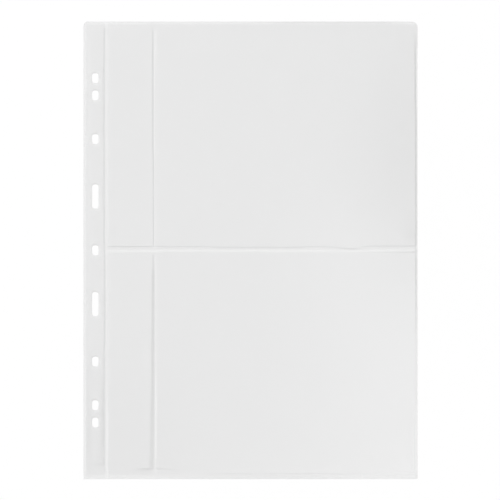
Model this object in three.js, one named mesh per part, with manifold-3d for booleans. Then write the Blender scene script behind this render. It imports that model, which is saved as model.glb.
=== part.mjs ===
// Clear banknote album page: a back film and a front film of soft clear plastic, welded together
// by heat, with two long pockets and a binding strip punched for several kinds of ring binder.
// Lengths are in millimetres. The page lies on its back: X runs from the binding strip to the
// outer edge, Y towards the top of the page and Z up. The origin is under the page's middle.

import * as THREE from 'three';
import { mergeVertices } from 'three/addons/utils/BufferGeometryUtils.js';
import Module from 'manifold-3d';

const wasm = await Module();
wasm.setup();

// Page
const pageWidth = 233;
const pageHeight = 319;
const cornerRadius = { topLeft: 3, topRight: 4, bottomRight: 1, bottomLeft: 0.6 };

// Films
const filmThickness = 0.15;
const pocketGap = 0.2;

// Welds, the bands where the two films are melted into one
const bindingEdgeWeldWidth = 2;
const endWeldWidth = 4.5;
const outerEdgeWeldWidth = 4.4;
const dividerWidth = 6;
const dividerLandWidth = 2.8;
const pressedThickness = 0.08;
const rampWidth = 0.9;
const beadWidth = 0.5;

// Seam between the binding strip and the pockets, the line on which the page turns
const seamFromBindingEdge = 16.2;
const seamWidth = 2.4;
const seamLineGap = 0.2;

// Pocket mouths: two slits in the front film, one above the other and a little out of line
const slitFromBindingEdge = { upper: 49.4, lower: 49.95 };
const slitGap = 0.4;
const flapRootWidth = 1.1;
const pocketLipDepth = 45;
const gussetLength = 40;
const gussetRoot = 1.5;
const lipClearance = 0.2;

// Punched holes, for rings at the spacings that each binder standard uses
const holeFromBindingEdge = 8.3;
const holeWidth = 4.3;
const holeLength = 6.7;
const slotLength = 16.7;
const holeCornerRadius = 1.6;
const fourRingSpacing = 80;
const threeRingSpacing = 107.95;
const wideRingSpacing = { inner: 65, outer: 45 };

// Half the facets in each quarter of a rounded corner
const cornerFacets = 3;

// Levels and places worked out from the sizes above
const left = -pageWidth / 2;
const right = pageWidth / 2;
const bottom = -pageHeight / 2;
const top = pageHeight / 2;
const frontFilmBase = filmThickness + pocketGap;
const pageThickness = frontFilmBase + filmThickness;
const seamX = left + seamFromBindingEdge;
const stripEndX = seamX - seamWidth / 2;
const panelStartX = seamX + seamWidth / 2;
const pocketEndX = right - outerEdgeWeldWidth;
const flapFoldX = panelStartX + flapRootWidth;
const holeX = left + holeFromBindingEdge;
const pocketLow = bottom + endWeldWidth;
const pocketHigh = top - endWeldWidth;

// Materials, one for each finish
function clearFilm(name, colour, opacity, roughness) {
  const material = new THREE.MeshStandardMaterial({ color: colour, roughness, metalness: 0 });
  material.name = name;
  material.transparent = true;
  material.opacity = opacity;
  return material;
}

const backFilmFinish = () => clearFilm('back_film', 0xe6e7e8, 0.3, 0.12);
const frontFilmFinish = () => clearFilm('front_film', 0xe9eaea, 0.3, 0.12);
const weldFinish = () => clearFilm('weld', 0xeeeeef, 0.4, 0.3);

// A closed mesh becomes a solid that can be cut, and a solid a mesh again
function toSolid(geometry) {
  const bare = geometry.clone();
  bare.deleteAttribute('normal');
  bare.deleteAttribute('uv');
  const merged = mergeVertices(bare);
  return new wasm.Manifold(new wasm.Mesh({
    numProp: 3,
    vertProperties: new Float32Array(merged.attributes.position.array),
    triVerts: new Uint32Array(merged.index.array),
  }));
}

function toGeometry(solid) {
  const mesh = solid.getMesh();
  const geometry = new THREE.BufferGeometry();
  geometry.setAttribute('position', new THREE.BufferAttribute(mesh.vertProperties, 3));
  geometry.setIndex(new THREE.BufferAttribute(mesh.triVerts, 1));
  geometry.computeVertexNormals();
  return geometry;
}

// A flat sheet of the given outline, from one level to another
function sheet(shape, low, high) {
  const geometry = new THREE.ExtrudeGeometry(shape, {
    depth: high - low,
    bevelEnabled: false,
    curveSegments: cornerFacets,
  });
  geometry.translate(0, 0, low);
  return geometry;
}

function polygon(points) {
  return new THREE.Shape(points.map(([x, y]) => new THREE.Vector2(x, y)));
}

function rectangle(x0, x1, y0, y1) {
  return polygon([[x0, y0], [x1, y0], [x1, y1], [x0, y1]]);
}

// The page's outline, with each corner rounded by its own radius
function pageOutline() {
  const { topLeft, topRight, bottomRight, bottomLeft } = cornerRadius;
  const shape = new THREE.Shape();
  shape.moveTo(left + bottomLeft, bottom);
  shape.lineTo(right - bottomRight, bottom);
  shape.absarc(right - bottomRight, bottom + bottomRight, bottomRight, -Math.PI / 2, 0);
  shape.lineTo(right, top - topRight);
  shape.absarc(right - topRight, top - topRight, topRight, 0, Math.PI / 2);
  shape.lineTo(left + topLeft, top);
  shape.absarc(left + topLeft, top - topLeft, topLeft, Math.PI / 2, Math.PI);
  shape.lineTo(left, bottom + bottomLeft);
  shape.absarc(left + bottomLeft, bottom + bottomLeft, bottomLeft, Math.PI, 1.5 * Math.PI);
  return shape;
}

// Cuts a piece that reaches the page's corners to the page's outline
function trimToPage(geometry) {
  const page = toSolid(sheet(pageOutline(), -pageThickness, 2 * pageThickness));
  return toGeometry(toSolid(geometry).intersect(page));
}

// A hole with straight sides and rounded corners, longer along the page than across it
function holeOutline(centreY, length) {
  const radius = Math.min(holeCornerRadius, 0.49 * holeWidth);
  const x0 = holeX - holeWidth / 2;
  const x1 = holeX + holeWidth / 2;
  const y0 = centreY - length / 2;
  const y1 = centreY + length / 2;
  const path = new THREE.Path();
  path.moveTo(x0 + radius, y0);
  path.lineTo(x1 - radius, y0);
  path.absarc(x1 - radius, y0 + radius, radius, -Math.PI / 2, 0);
  path.lineTo(x1, y1 - radius);
  path.absarc(x1 - radius, y1 - radius, radius, 0, Math.PI / 2);
  path.lineTo(x0 + radius, y1);
  path.absarc(x0 + radius, y1 - radius, radius, Math.PI / 2, Math.PI);
  path.lineTo(x0, y0 + radius);
  path.absarc(x0 + radius, y0 + radius, radius, Math.PI, 1.5 * Math.PI);
  return path;
}

// Ring standards: the centre hole and the three-ring pair, the outer pair of the four-ring
// binder, the outer pair of the wide four-ring binder, and a slot for both inner pairs
function punchedHoles() {
  const slotStart = (wideRingSpacing.inner - holeLength) / 2;
  const slotCentre = slotStart + slotLength / 2;
  const holes = [holeOutline(0, holeLength)];
  for (const side of [1, -1]) {
    holes.push(holeOutline(side * 1.5 * fourRingSpacing, holeLength));
    holes.push(holeOutline(side * threeRingSpacing, holeLength));
    holes.push(holeOutline(side * (wideRingSpacing.inner / 2 + wideRingSpacing.outer), holeLength));
    holes.push(holeOutline(side * slotCentre, slotLength));
  }
  return holes;
}

// A bar of one cross-section, given as [across, height] points. It runs from start along the
// direction along; across points into the page. Each end is cut by its mitre, the length that
// it loses for each millimetre across.
function bar(section, start, along, across, length, mitre) {
  const points = section.map(([u, z]) => new THREE.Vector2(u, z));
  const caps = THREE.ShapeUtils.triangulateShape(points, []);
  const count = points.length;
  const positions = [];
  for (const end of [0, 1]) {
    for (const point of points) {
      const run = end === 0 ? mitre.start * point.x : length - mitre.end * point.x;
      positions.push(start.x + along.x * run + across.x * point.x);
      positions.push(start.y + along.y * run + across.y * point.x);
      positions.push(point.y);
    }
  }
  const faces = [];
  for (const [a, b, c] of caps) {
    faces.push(a, b, c);
    faces.push(count + a, count + c, count + b);
  }
  for (let i = 0; i < count; i += 1) {
    const next = (i + 1) % count;
    faces.push(i, count + i, next);
    faces.push(next, count + i, count + next);
  }
  // The caps turn outwards only if the run, the width and the height are right-handed
  const turn = along.x * across.y - along.y * across.x;
  if (turn > 0) {
    faces.reverse();
  }
  const geometry = new THREE.BufferGeometry();
  geometry.setAttribute('position', new THREE.Float32BufferAttribute(positions, 3));
  geometry.setIndex(faces);
  geometry.computeVertexNormals();
  return geometry;
}

const toRight = new THREE.Vector2(1, 0);
const toLeft = new THREE.Vector2(-1, 0);
const upward = new THREE.Vector2(0, 1);
const downward = new THREE.Vector2(0, -1);

// Cross-section of a weld at the page's rim: a pressed land, then the ramp on which the front
// film rises to its own level
function rimSection(width) {
  const ramp = Math.min(rampWidth, 0.4 * width);
  const bead = Math.min(beadWidth, 0.2 * width);
  return [
    [0, filmThickness],
    [width, filmThickness],
    [width, pageThickness],
    [width - bead, pageThickness],
    [width - bead - ramp, filmThickness + pressedThickness],
    [0, filmThickness + pressedThickness],
  ];
}

// Cross-section of the weld between the pockets: a pressed land with a ramp on each side
function dividerSection() {
  const land = Math.min(dividerLandWidth, 0.6 * dividerWidth);
  const half = dividerWidth / 2;
  const bead = Math.min(beadWidth, 0.5 * (half - land / 2));
  return [
    [0, filmThickness],
    [dividerWidth, filmThickness],
    [dividerWidth, pageThickness],
    [dividerWidth - bead, pageThickness],
    [half + land / 2, filmThickness + pressedThickness],
    [half - land / 2, filmThickness + pressedThickness],
    [bead, pageThickness],
    [0, pageThickness],
  ];
}

// Cross-section of half of the seam weld: both films, thinning towards the line of the fold
function seamSection() {
  const middle = pageThickness / 2;
  const reach = seamWidth / 2 - seamLineGap / 2;
  const tip = middle * (seamLineGap / seamWidth);
  return [
    [0, 0],
    [reach, middle - tip],
    [reach, middle + tip],
    [0, pageThickness],
  ];
}

// Films of the binding strip, both punched
function stripBackFilm() {
  const shape = rectangle(left, stripEndX, bottom, top);
  shape.holes = punchedHoles();
  return trimToPage(sheet(shape, 0, filmThickness));
}

function stripFrontFilm() {
  const shape = rectangle(left + bindingEdgeWeldWidth, stripEndX, pocketLow, pocketHigh);
  shape.holes = punchedHoles();
  return sheet(shape, frontFilmBase, pageThickness);
}

// Welds of the binding strip
function bindingEdgeWeld() {
  const mitre = endWeldWidth / bindingEdgeWeldWidth;
  const start = new THREE.Vector2(left, bottom);
  const section = rimSection(bindingEdgeWeldWidth);
  return trimToPage(bar(section, start, upward, toRight, pageHeight, { start: mitre, end: mitre }));
}

function stripTopWeld() {
  const mitre = bindingEdgeWeldWidth / endWeldWidth;
  const start = new THREE.Vector2(left, top);
  const section = rimSection(endWeldWidth);
  const length = stripEndX - left;
  return trimToPage(bar(section, start, toRight, downward, length, { start: mitre, end: 0 }));
}

function stripBottomWeld() {
  const mitre = bindingEdgeWeldWidth / endWeldWidth;
  const start = new THREE.Vector2(left, bottom);
  const section = rimSection(endWeldWidth);
  const length = stripEndX - left;
  return trimToPage(bar(section, start, toRight, upward, length, { start: mitre, end: 0 }));
}

// Seam weld, in two halves that meet on the line of the fold
function stripSeamWeld() {
  const start = new THREE.Vector2(stripEndX, bottom);
  return bar(seamSection(), start, upward, toRight, pageHeight, { start: 0, end: 0 });
}

function panelSeamWeld() {
  const start = new THREE.Vector2(panelStartX, bottom);
  return bar(seamSection(), start, upward, toLeft, pageHeight, { start: 0, end: 0 });
}

// Back film of the pockets
function pageBackFilm() {
  return trimToPage(sheet(rectangle(panelStartX, right, bottom, top), 0, filmThickness));
}

// Welds round the pockets and between them
function panelEndWeld(y, inward) {
  const mitre = outerEdgeWeldWidth / endWeldWidth;
  const start = new THREE.Vector2(panelStartX, y);
  const section = rimSection(endWeldWidth);
  const length = right - panelStartX;
  return trimToPage(bar(section, start, toRight, inward, length, { start: 0, end: mitre }));
}

function outerEdgeWeld() {
  const mitre = endWeldWidth / outerEdgeWeldWidth;
  const start = new THREE.Vector2(right, bottom);
  const section = rimSection(outerEdgeWeldWidth);
  return trimToPage(bar(section, start, upward, toLeft, pageHeight, { start: mitre, end: mitre }));
}

function dividerWeld() {
  const start = new THREE.Vector2(panelStartX, -dividerWidth / 2);
  const length = pocketEndX - panelStartX;
  return bar(dividerSection(), start, toRight, upward, length, { start: 0, end: 0 });
}

// Height of the crease that runs from a lip's fold line to its free edge: the film below it
// stays with the weld, as a gusset, and the film above it lifts
function creaseHeight(x, foldX, lipX) {
  return gussetRoot + (gussetLength - gussetRoot) * ((x - foldX) / (lipX - foldX));
}

// Front film of one pocket on one side of the slit, apart from the lip: it runs from a fixed
// edge to the fold line, and two gussets reach from there to the slit
function frontFilm(fixedX, foldX, lipX, low, high) {
  return sheet(polygon([
    [fixedX, low],
    [lipX, low],
    [lipX, low + gussetLength],
    [foldX, low + gussetRoot],
    [foldX, high - gussetRoot],
    [lipX, high - gussetLength],
    [lipX, high],
    [fixedX, high],
  ]), frontFilmBase, pageThickness);
}

// The lip that lifts between the two gussets
function frontLip(foldX, lipX, low, high) {
  const rootX = foldX + Math.sign(lipX - foldX) * lipClearance;
  const rise = lipClearance * Math.hypot(1, (gussetLength - gussetRoot) / (lipX - foldX));
  const atRoot = creaseHeight(rootX, foldX, lipX) + rise;
  const atEdge = creaseHeight(lipX, foldX, lipX) + rise;
  return sheet(polygon([
    [rootX, low + atRoot],
    [lipX, low + atEdge],
    [lipX, high - atEdge],
    [rootX, high - atRoot],
  ]), frontFilmBase, pageThickness);
}

// Every piece, in the group that moves with it
function piece(name, geometry, material) {
  const mesh = new THREE.Mesh(geometry, material);
  mesh.name = name;
  return mesh;
}

const bindingStrip = new THREE.Group();
bindingStrip.add(piece('strip_back_film', stripBackFilm(), backFilmFinish()));
bindingStrip.add(piece('strip_front_film', stripFrontFilm(), frontFilmFinish()));
bindingStrip.add(piece('binding_edge_weld', bindingEdgeWeld(), weldFinish()));
bindingStrip.add(piece('strip_top_weld', stripTopWeld(), weldFinish()));
bindingStrip.add(piece('strip_bottom_weld', stripBottomWeld(), weldFinish()));
bindingStrip.add(piece('strip_seam_weld', stripSeamWeld(), weldFinish()));

const pagePanel = new THREE.Group();
pagePanel.add(piece('page_back_film', pageBackFilm(), backFilmFinish()));
pagePanel.add(piece('panel_seam_weld', panelSeamWeld(), weldFinish()));
pagePanel.add(piece('top_weld', panelEndWeld(top, downward), weldFinish()));
pagePanel.add(piece('bottom_weld', panelEndWeld(bottom, upward), weldFinish()));
pagePanel.add(piece('outer_edge_weld', outerEdgeWeld(), weldFinish()));
pagePanel.add(piece('divider_weld', dividerWeld(), weldFinish()));

const pockets = [
  { name: 'upper', low: dividerWidth / 2, high: pocketHigh },
  { name: 'lower', low: pocketLow, high: -dividerWidth / 2 },
];
for (const { name, low, high } of pockets) {
  const slitX = left + slitFromBindingEdge[name];
  const flapLipX = slitX - slitGap / 2;
  const pocketLipX = slitX + slitGap / 2;
  const pocketFoldX = pocketLipX + pocketLipDepth;
  const flap = frontFilm(panelStartX, flapFoldX, flapLipX, low, high);
  const flapLip = frontLip(flapFoldX, flapLipX, low, high);
  const front = frontFilm(pocketEndX, pocketFoldX, pocketLipX, low, high);
  const pocketLip = frontLip(pocketFoldX, pocketLipX, low, high);
  pagePanel.add(piece(`${name}_flap_film`, flap, frontFilmFinish()));
  pagePanel.add(piece(`${name}_flap_lip`, flapLip, frontFilmFinish()));
  pagePanel.add(piece(`${name}_pocket_film`, front, frontFilmFinish()));
  pagePanel.add(piece(`${name}_pocket_lip`, pocketLip, frontFilmFinish()));
}

const albumPage = new THREE.Group();
albumPage.add(bindingStrip, pagePanel);

export default albumPage;
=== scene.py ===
"""Clear banknote album page: two soft clear films, welded by heat into a punched page.

The page lies on its back with the binding strip on the left. Lengths are in millimetres in
this file and are turned to metres when a mesh is made.
"""

import logging
import math
from collections.abc import Callable, Sequence
from dataclasses import dataclass, field
from enum import Enum

import bpy
import numpy as np
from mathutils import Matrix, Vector
from mathutils.geometry import delaunay_2d_cdt


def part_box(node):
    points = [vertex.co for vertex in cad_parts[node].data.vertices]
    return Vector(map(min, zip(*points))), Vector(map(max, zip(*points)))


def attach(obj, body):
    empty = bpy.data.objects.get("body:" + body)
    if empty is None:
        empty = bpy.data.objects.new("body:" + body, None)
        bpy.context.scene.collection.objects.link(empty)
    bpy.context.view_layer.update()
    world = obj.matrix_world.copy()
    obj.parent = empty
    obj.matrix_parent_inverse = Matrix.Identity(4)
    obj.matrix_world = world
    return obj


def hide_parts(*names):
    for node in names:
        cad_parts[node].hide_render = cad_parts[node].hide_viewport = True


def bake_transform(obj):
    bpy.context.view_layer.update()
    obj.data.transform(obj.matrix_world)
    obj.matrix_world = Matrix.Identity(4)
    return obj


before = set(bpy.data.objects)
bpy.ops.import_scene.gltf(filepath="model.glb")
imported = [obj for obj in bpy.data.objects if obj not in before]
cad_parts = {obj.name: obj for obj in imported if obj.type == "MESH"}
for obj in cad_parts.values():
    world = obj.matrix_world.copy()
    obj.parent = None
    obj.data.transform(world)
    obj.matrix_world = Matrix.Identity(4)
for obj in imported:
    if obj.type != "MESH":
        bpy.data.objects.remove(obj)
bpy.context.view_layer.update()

MM = 0.001

# Places closer together than this count as one
SAME = 1e-6
# Edges that turn by more than this stay sharp
SHARP_ANGLE = math.radians(40)
WHITE = "FFFFFF"

Point = tuple[float, float]
Height = Callable[[np.ndarray, np.ndarray], np.ndarray]
Source = bpy.types.Node | bpy.types.NodeSocket

log = logging.getLogger("album_page")


# Small helpers


def srgb(colour: str) -> tuple[float, float, float, float]:
    """Turns an sRGB hex colour into the linear one that Blender's sockets take.

    Args:
        colour: Six hex digits.

    Returns:
        Linear red, green and blue, and an alpha of 1.
    """
    parts = [int(colour[i:i + 2], 16) / 255 for i in (0, 2, 4)]
    linear = [c / 12.92 if c <= 0.04045 else ((c + 0.055) / 1.055) ** 2.4 for c in parts]
    return (*linear, 1.0)


def ease(amount: np.ndarray) -> np.ndarray:
    """Smooth step from 0 to 1, flat at both ends."""
    t = np.clip(amount, 0.0, 1.0)
    return t * t * (3 - 2 * t)


def span(*nodes: str) -> tuple[Point, Point]:
    """Lowest and highest x and y of some CAD solids together.

    Args:
        nodes: Names of the solids.

    Returns:
        The low corner and the high corner, in millimetres.
    """
    boxes = [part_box(node) for node in nodes]
    low = [min(lo[i] for lo, _ in boxes) / MM for i in (0, 1)]
    high = [max(hi[i] for _, hi in boxes) / MM for i in (0, 1)]
    return (low[0], low[1]), (high[0], high[1])


def add_object(name: str, data: bpy.types.Mesh | bpy.types.Camera) -> bpy.types.Object:
    """Makes an object and puts it in the scene.

    Args:
        name: Name of the object.
        data: Its mesh or its camera.

    Returns:
        The new object.
    """
    obj = bpy.data.objects.new(name, data)
    bpy.context.scene.collection.objects.link(obj)
    return obj


def empty_tree(owner: bpy.types.Material | bpy.types.World) -> bpy.types.NodeTree:
    """Gives a material or a world a node tree with nothing in it.

    Args:
        owner: The material or the world.

    Returns:
        Its node tree.
    """
    owner.use_nodes = True
    owner.node_tree.nodes.clear()
    return owner.node_tree


def add_node(
    tree: bpy.types.NodeTree,
    kind: str,
    settings: dict[str, object] | None = None,
    values: dict[str | int, object] | None = None,
    links: dict[str | int, Source] | None = None,
) -> bpy.types.Node:
    """Adds a node with its settings, its socket values and what feeds it.

    Args:
        tree: The node tree.
        kind: The node's type name.
        settings: Properties of the node.
        values: Numbers or colours for its input sockets.
        links: What feeds its input sockets. A node feeds them from its first output.

    Returns:
        The new node.
    """
    node = tree.nodes.new(kind)
    for name, value in (settings or {}).items():
        setattr(node, name, value)
    for name, value in (values or {}).items():
        node.inputs[name].default_value = value
    for name, source in (links or {}).items():
        socket = source.outputs[0] if isinstance(source, bpy.types.Node) else source
        tree.links.new(socket, node.inputs[name])
    return node


# Finishes


@dataclass(frozen=True)
class FilmFinish:
    """Clear soft vinyl film, calendered between rollers.

    Each face mirrors the studio softly, scatters a little light as milkiness, and lets the rest
    through. Where the two films are fused, less light is lost between them and the page looks
    lighter. Elsewhere the light let through carries painted light and painted shade, and where
    the film slants steeply, at a crease, it is painted darker, as painted shade. Where it is
    fused the face is satin. Two mesh attributes, clear and fused, say how far.

    Attributes:
        name: Name of the material.
        slot: The record's material slot. Not used.
        milk: Colour of the light that a face scatters.
        dim: Colour of the light that a face lets through where the most shade is painted, in a
            steep crease.
        bright: The same colour where the films are fused, and where the most light is painted.
        haze: Share of the light that a plain face scatters.
        haze_spread: How far that share rises and falls in the clouds, as a part of itself.
        fused_haze: The same share where the films are fully fused.
        mirror: Share of light that a face mirrors when seen straight on.
        grazing_mirror: The same share when it is seen from the side.
        grazing_power: How late the one passes into the other as the view slants.
        roughness: Roughness of the mirroring.
        fused_roughness: Roughness where the films are fully fused.
        cloud_size: Size in mm of the cloudy patches in the milkiness.
        ripple_size: Size in mm of the ripples that the rollers leave.
        ripple_height: Height in mm of those ripples.
    """

    name: str
    slot: str
    milk: str = "E4E5E7"
    dim: str = "F0F0F0"
    bright: str = "FCFCFC"
    haze: float = 0.01
    haze_spread: float = 0.15
    fused_haze: float = 0.015
    mirror: float = 0.045
    grazing_mirror: float = 0.8
    grazing_power: float = 5.0
    roughness: float = 0.1
    fused_roughness: float = 0.28
    cloud_size: float = 34.0
    ripple_size: float = 9.0
    ripple_height: float = 0.004

    def scattered(self, tree: bpy.types.NodeTree, clouds: Source, fused: Source) -> Source:
        """Works out the share of the light that a face scatters.

        Args:
            tree: The material's node tree.
            clouds: The cloudy pattern of the milkiness.
            fused: How far the films are fused.

        Returns:
            The node that holds the share.
        """
        plain = add_node(
            tree,
            "ShaderNodeMapRange",
            values={
                "To Min": (1 - self.haze_spread) * self.haze,
                "To Max": (1 + self.haze_spread) * self.haze,
            },
            links={"Value": clouds},
        )
        return add_node(
            tree,
            "ShaderNodeMapRange",
            values={"To Max": self.fused_haze},
            links={"Value": fused, "To Min": plain},
        )

    def mirrored(self, tree: bpy.types.NodeTree) -> Source:
        """Works out the share of the light that a face mirrors.

        Args:
            tree: The material's node tree.

        Returns:
            The node that holds the share.
        """
        facing = add_node(tree, "ShaderNodeLayerWeight", values={"Blend": 0.5})
        grazing = add_node(
            tree,
            "ShaderNodeMath",
            {"operation": "POWER"},
            values={1: self.grazing_power},
            links={0: facing.outputs["Facing"]},
        )
        return add_node(
            tree,
            "ShaderNodeMapRange",
            values={"To Min": self.mirror, "To Max": self.grazing_mirror},
            links={"Value": grazing},
        )

    def material(self) -> bpy.types.Material:
        """Makes the material.

        Returns:
            The new material.
        """
        material = bpy.data.materials.new(self.name)
        tree = empty_tree(material)
        fused, share = (
            add_node(tree, "ShaderNodeAttribute", {"attribute_name": name}).outputs["Fac"]
            for name in ("fused", "clear")
        )
        # Milkiness comes in soft clouds, and the rollers leave low ripples
        place = add_node(tree, "ShaderNodeTexCoord").outputs["Object"]
        clouds, ripples = (
            add_node(
                tree,
                "ShaderNodeTexNoise",
                values={"Scale": 1 / (size * MM), "Detail": 1.0},
                links={"Vector": place},
            )
            for size in (self.cloud_size, self.ripple_size)
        )
        bump = add_node(
            tree,
            "ShaderNodeBump",
            values={"Strength": 1.0, "Distance": self.ripple_height * MM},
            links={"Height": ripples},
        )

        # The light let through goes from dim to bright by the clear measure, which holds the
        # fusing and the painted light and shade
        through = add_node(
            tree,
            "ShaderNodeMix",
            {"data_type": "RGBA"},
            values={6: srgb(self.dim), 7: srgb(self.bright)},
            links={0: share},
        )
        clear = add_node(
            tree, "ShaderNodeBsdfTransparent", links={"Color": through.outputs[2]}
        )
        milky = add_node(
            tree,
            "ShaderNodeBsdfDiffuse",
            values={"Color": srgb(self.milk)},
            links={"Normal": bump},
        )
        roughness = add_node(
            tree,
            "ShaderNodeMapRange",
            values={"To Min": self.roughness, "To Max": self.fused_roughness},
            links={"Value": fused},
        )
        gloss = add_node(
            tree,
            "ShaderNodeBsdfGlossy",
            values={"Color": srgb(WHITE)},
            links={"Roughness": roughness, "Normal": bump},
        )
        scattered = self.scattered(tree, clouds, fused)
        body = add_node(tree, "ShaderNodeMixShader", links={0: scattered, 1: clear, 2: milky})
        surface = add_node(
            tree, "ShaderNodeMixShader", links={0: self.mirrored(tree), 1: body, 2: gloss}
        )
        add_node(tree, "ShaderNodeOutputMaterial", links={"Surface": surface})
        return material


# Front film of the pockets and the strip: clear, softly glossy, with painted shade in its creases
FRONT_FILM = FilmFinish(name="clear_vinyl_front", slot="front_film")
# Back film, the whole page: it lies flat, and no shade is painted on it
BACK_FILM = FilmFinish(name="clear_vinyl_back", slot="back_film", dim="FCFCFC")
# Bands that a heated bar pressed: the two films melted into one, satin where fused
FUSED_BAND = FilmFinish(name="fused_vinyl_band", slot="weld")
# The seam is both films melted through, so one solid takes as much light as two films do
FUSED_SEAM = FilmFinish(name="fused_vinyl_seam", slot="weld", dim="EDEDED", bright="F9F9F9")


# Outlines


def flat(height: float) -> Height:
    """A flat face at one height."""
    return lambda x, y: np.full(x.shape, height)


def rectangle(x0: float, x1: float, y0: float, y1: float) -> list[Point]:
    """Corners of a rectangle."""
    return [(x0, y0), (x1, y0), (x1, y1), (x0, y1)]


def arc(x: float, y: float, radius: float, start: float, facets: int = 8) -> list[Point]:
    """Points of a quarter circle that turns left.

    Args:
        x: X of its centre.
        y: Y of its centre.
        radius: Its radius.
        start: Angle of its first point, in degrees.
        facets: Number of facets.

    Returns:
        The points.
    """
    angles = [math.radians(start + 90 * i / facets) for i in range(facets + 1)]
    return [(x + radius * math.cos(a), y + radius * math.sin(a)) for a in angles]


def part_way(start: Point, end: Point, i: int, count: int) -> Point:
    """The point that lies i steps of count along the way from one point to another."""
    return tuple(a + (b - a) * i / count for a, b in zip(start, end))


def evenly(points: Sequence[Point], step: float) -> list[Point]:
    """Adds points to the long edges of a closed outline.

    Args:
        points: Points of the outline.
        step: Longest edge that is left as it is.

    Returns:
        The points with the new ones among them.
    """
    result: list[Point] = []
    for start, end in zip(points, [*points[1:], points[0]]):
        count = max(1, round(math.dist(start, end) / step))
        result += [part_way(start, end, i, count) for i in range(count)]
    return result


# Relief of the front film


class Axis(Enum):
    """The way across a trough."""

    X = 0
    Y = 1


@dataclass(frozen=True)
class Trough:
    """A pressed or sagging line in the front film, or a ridge where its depth is negative.

    Attributes:
        axis: The way across the trough.
        stations: Places along it. Each row has the place, the depth there, and where across it
            the film starts to fall and has fallen. Unless it stays down from there on, the row
            goes on with where the film starts to rise and has risen.
    """

    axis: Axis
    stations: tuple[tuple[float, ...], ...]

    @classmethod
    def even(cls, axis: Axis, places: tuple[float, ...], *depths: Point) -> "Trough":
        """Makes a trough with the same slopes all along.

        Args:
            axis: The way across the trough.
            places: Where the film starts to fall, has fallen, and so on.
            depths: Places along it, each with the depth there.

        Returns:
            The trough.
        """
        return cls(axis, tuple((along, depth, *places) for along, depth in depths))

    def depth(self, x: np.ndarray, y: np.ndarray) -> np.ndarray:
        """Depth of the trough at some points, in mm.

        Args:
            x: X of the points.
            y: Y of the points.

        Returns:
            The depth below the film's own level.
        """
        across, along = (x, y) if self.axis is Axis.X else (y, x)
        columns = np.array(sorted(self.stations)).T
        deep, *places = (np.interp(along, columns[0], column) for column in columns[1:])
        down, *up = (
            ease((across - start) / (end - start))
            for start, end in zip(places[::2], places[1::2])
        )
        return deep * (down - sum(up))


@dataclass(frozen=True)
class PaintedPatch:
    """A soft-edged area of painted light or shade, with a reach of its own on each side.

    Attributes:
        x: Place of its middle.
        y: Place of its middle.
        gain: How much clearer the page is painted in the middle, as painted light, and negative
        for painted shade.
        left: Reach towards the binding edge.
        right: Reach towards the outer edge.
        down: Reach towards the bottom.
        up: Reach towards the top.
    """

    x: float
    y: float
    gain: float
    left: float
    right: float
    down: float
    up: float

    def share(self, x: np.ndarray, y: np.ndarray) -> np.ndarray:
        """How much clearer the page is painted at some points, as painted light or shade.

        Args:
            x: X of the points.
            y: Y of the points.

        Returns:
            The gain there.
        """
        dx = (x - self.x) / np.where(x < self.x, self.left, self.right)
        dy = (y - self.y) / np.where(y < self.y, self.down, self.up)
        return self.gain * np.exp(-dx * dx - dy * dy)


@dataclass(frozen=True)
class PunchedRow:
    """The row of ring holes and slots down the binding strip.

    Attributes:
        x: Centre line of the row.
        width: Width of each hole across the strip.
        length: Length of a round-cornered hole along the strip.
        slot_length: Length of a slot.
        radius: Corner radius of the holes.
        facets: Number of facets of a corner.
        rim_step: Distance of the mesh points along a rim.
        centres: Y of each pair of holes, and of the middle one.
        slot_centre: Y of each slot, above and below the middle.
        dip: How far the front film is pushed down at a punched rim.
        dip_reach: How far from the rim the film is pushed down.
    """

    x: float = -108.2
    width: float = 4.3
    length: float = 6.7
    slot_length: float = 16.7
    radius: float = 1.6
    facets: int = 6
    rim_step: float = 1.0
    centres: tuple[float, ...] = (0.0, 77.5, 107.95, 120.0)
    slot_centre: float = 37.5
    dip: float = 0.13
    dip_reach: float = 1.6

    def openings(self) -> list[tuple[float, float]]:
        """Lists every hole and slot.

        Returns:
            The y of its centre and its length, for each.
        """
        holes = [(y, self.length) for y in self.centres]
        holes += [(-y, self.length) for y in self.centres[1:]]
        return holes + [(side * self.slot_centre, self.slot_length) for side in (1, -1)]

    def outline(self, centre: float, length: float, grow: float = 0.0) -> list[Point]:
        """Outline of one hole, or a ring round it.

        Args:
            centre: Y of the hole's centre.
            length: Length of the hole.
            grow: How far outside the hole the ring lies.

        Returns:
            Points of the closed outline.
        """
        radius = self.radius + grow
        half_x = self.width / 2 + grow - radius
        half_y = length / 2 + grow - radius
        signs = ((1, 1, 0), (-1, 1, 90), (-1, -1, 180), (1, -1, 270))
        corners = [
            arc(self.x + side * half_x, centre + end * half_y, radius, start, self.facets)
            for side, end, start in signs
        ]
        return evenly([point for corner in corners for point in corner], self.rim_step)

    def outside(self, x: np.ndarray, y: np.ndarray) -> np.ndarray:
        """Distance of some points from the nearest hole's rim.

        Args:
            x: X of the points.
            y: Y of the points.

        Returns:
            The distances, negative inside a hole.
        """
        nearest = np.full(x.shape, np.inf)
        for centre, length in self.openings():
            qx = np.abs(x - self.x) - (self.width / 2 - self.radius)
            qy = np.abs(y - centre) - (length / 2 - self.radius)
            out = np.hypot(np.maximum(qx, 0), np.maximum(qy, 0))
            inside = np.minimum(np.maximum(qx, qy), 0)
            nearest = np.minimum(nearest, out + inside - self.radius)
        return nearest

    def sag(self, x: np.ndarray, y: np.ndarray) -> np.ndarray:
        """How far the front film is pushed down near the punched rims."""
        return self.dip * (1 - ease(self.outside(x, y) / self.dip_reach))


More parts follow.
